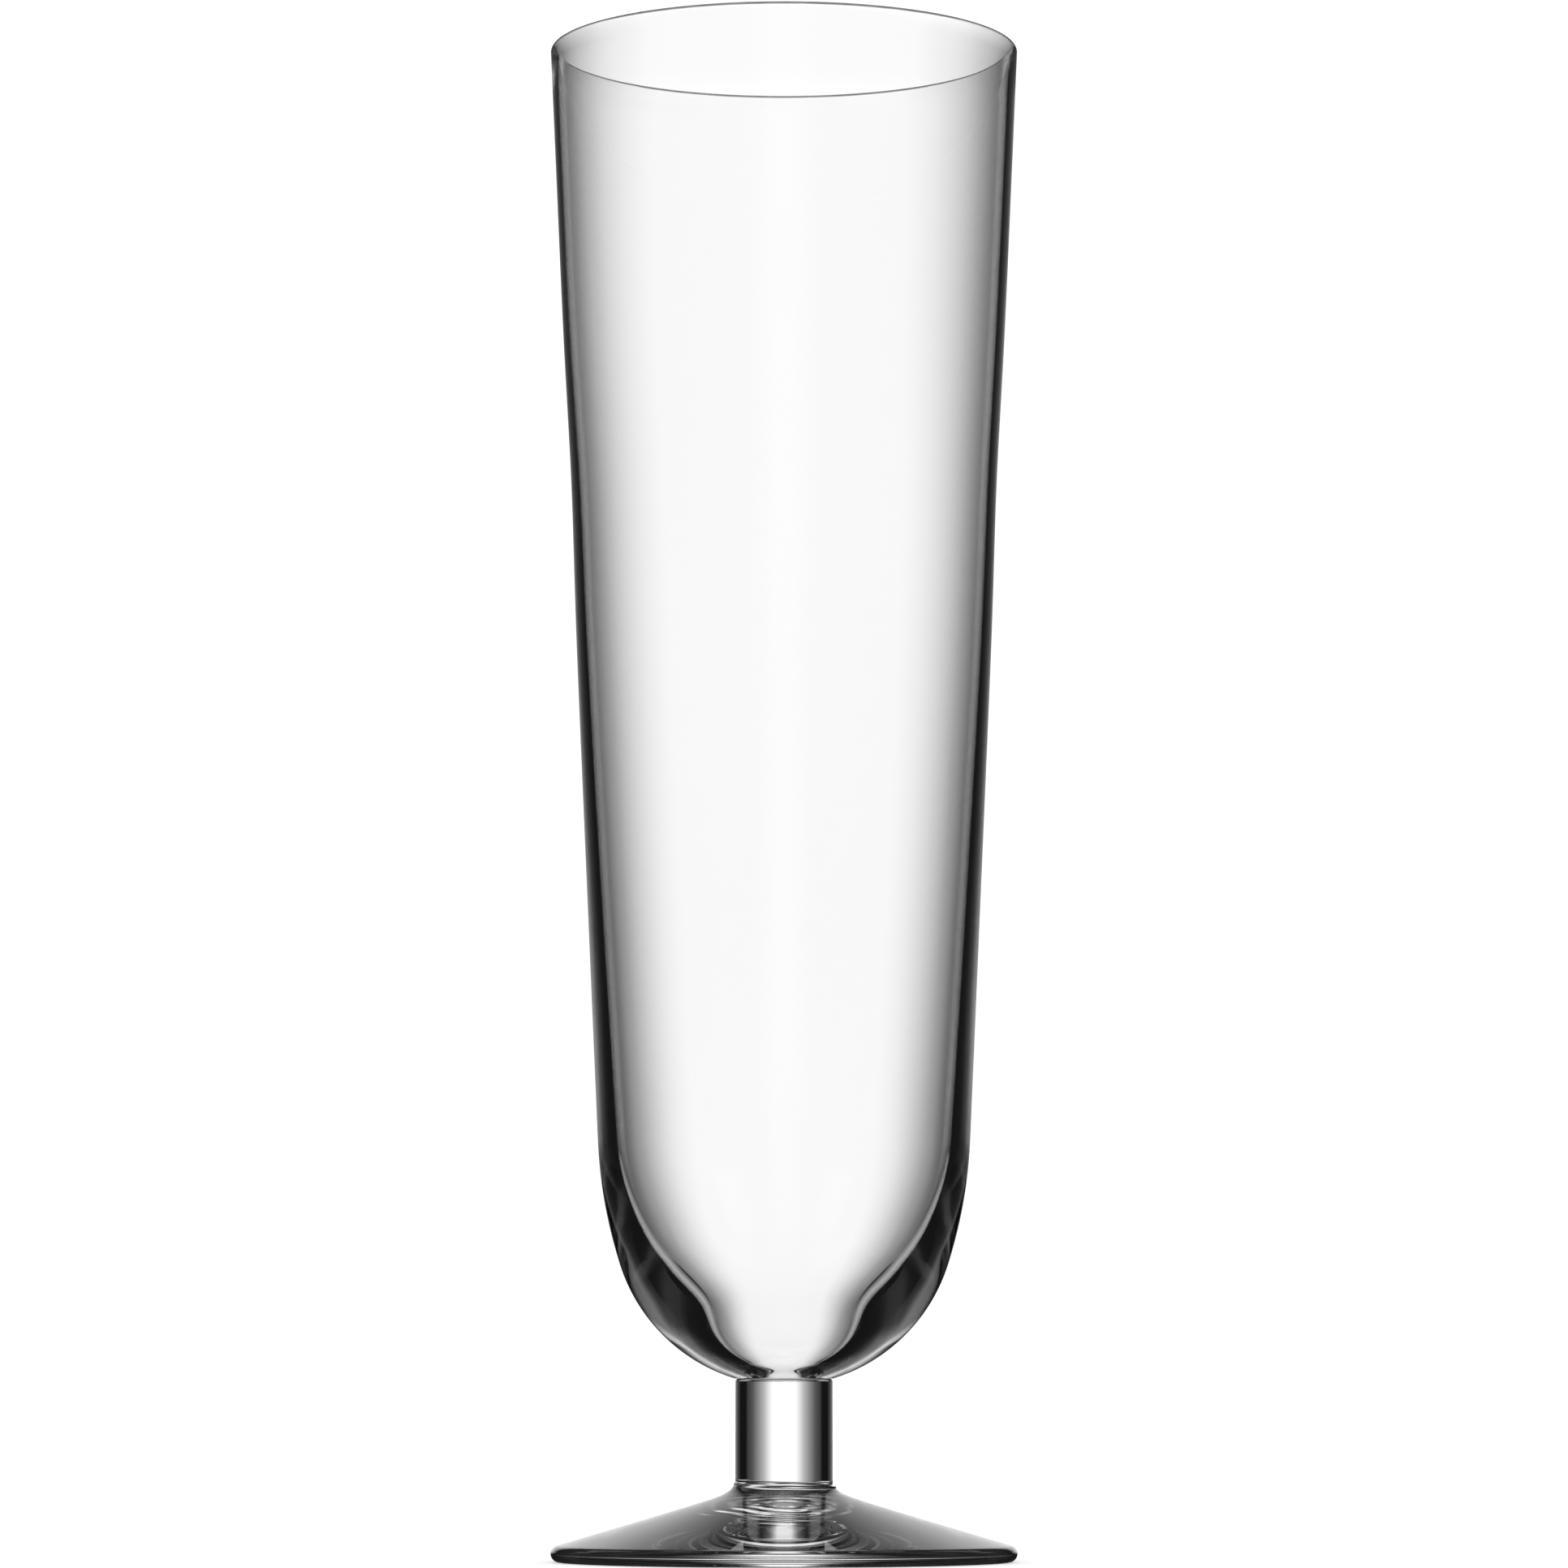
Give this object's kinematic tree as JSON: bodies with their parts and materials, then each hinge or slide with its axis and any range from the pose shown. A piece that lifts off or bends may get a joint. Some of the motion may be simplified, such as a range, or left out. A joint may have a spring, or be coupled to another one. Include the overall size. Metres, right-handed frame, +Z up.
{
  "type": "pilsner glass",
  "caption": "Tall footed pilsner glass: a slightly tapering clear bowl with a rounded bottom, a short solid stem and a sloping round foot.",
  "frame": {"origin": "centre of the foot's underside, on the plane it rests on", "axes": "+Z up along the glass's axis of revolution; X and Y are any pair across it"},
  "size_m": [0.0745, 0.0744, 0.24],
  "materials": {
    "bowl_glass": "clear blown glass, polished",
    "stem_glass": "clear solid glass, polished",
    "foot_glass": "clear solid glass with faint tooling rings"
  },
  "bodies": {
    "root": {"bowl": "bowl_glass", "stem": "stem_glass", "foot": "foot_glass"}
  },
  "joints": []
}
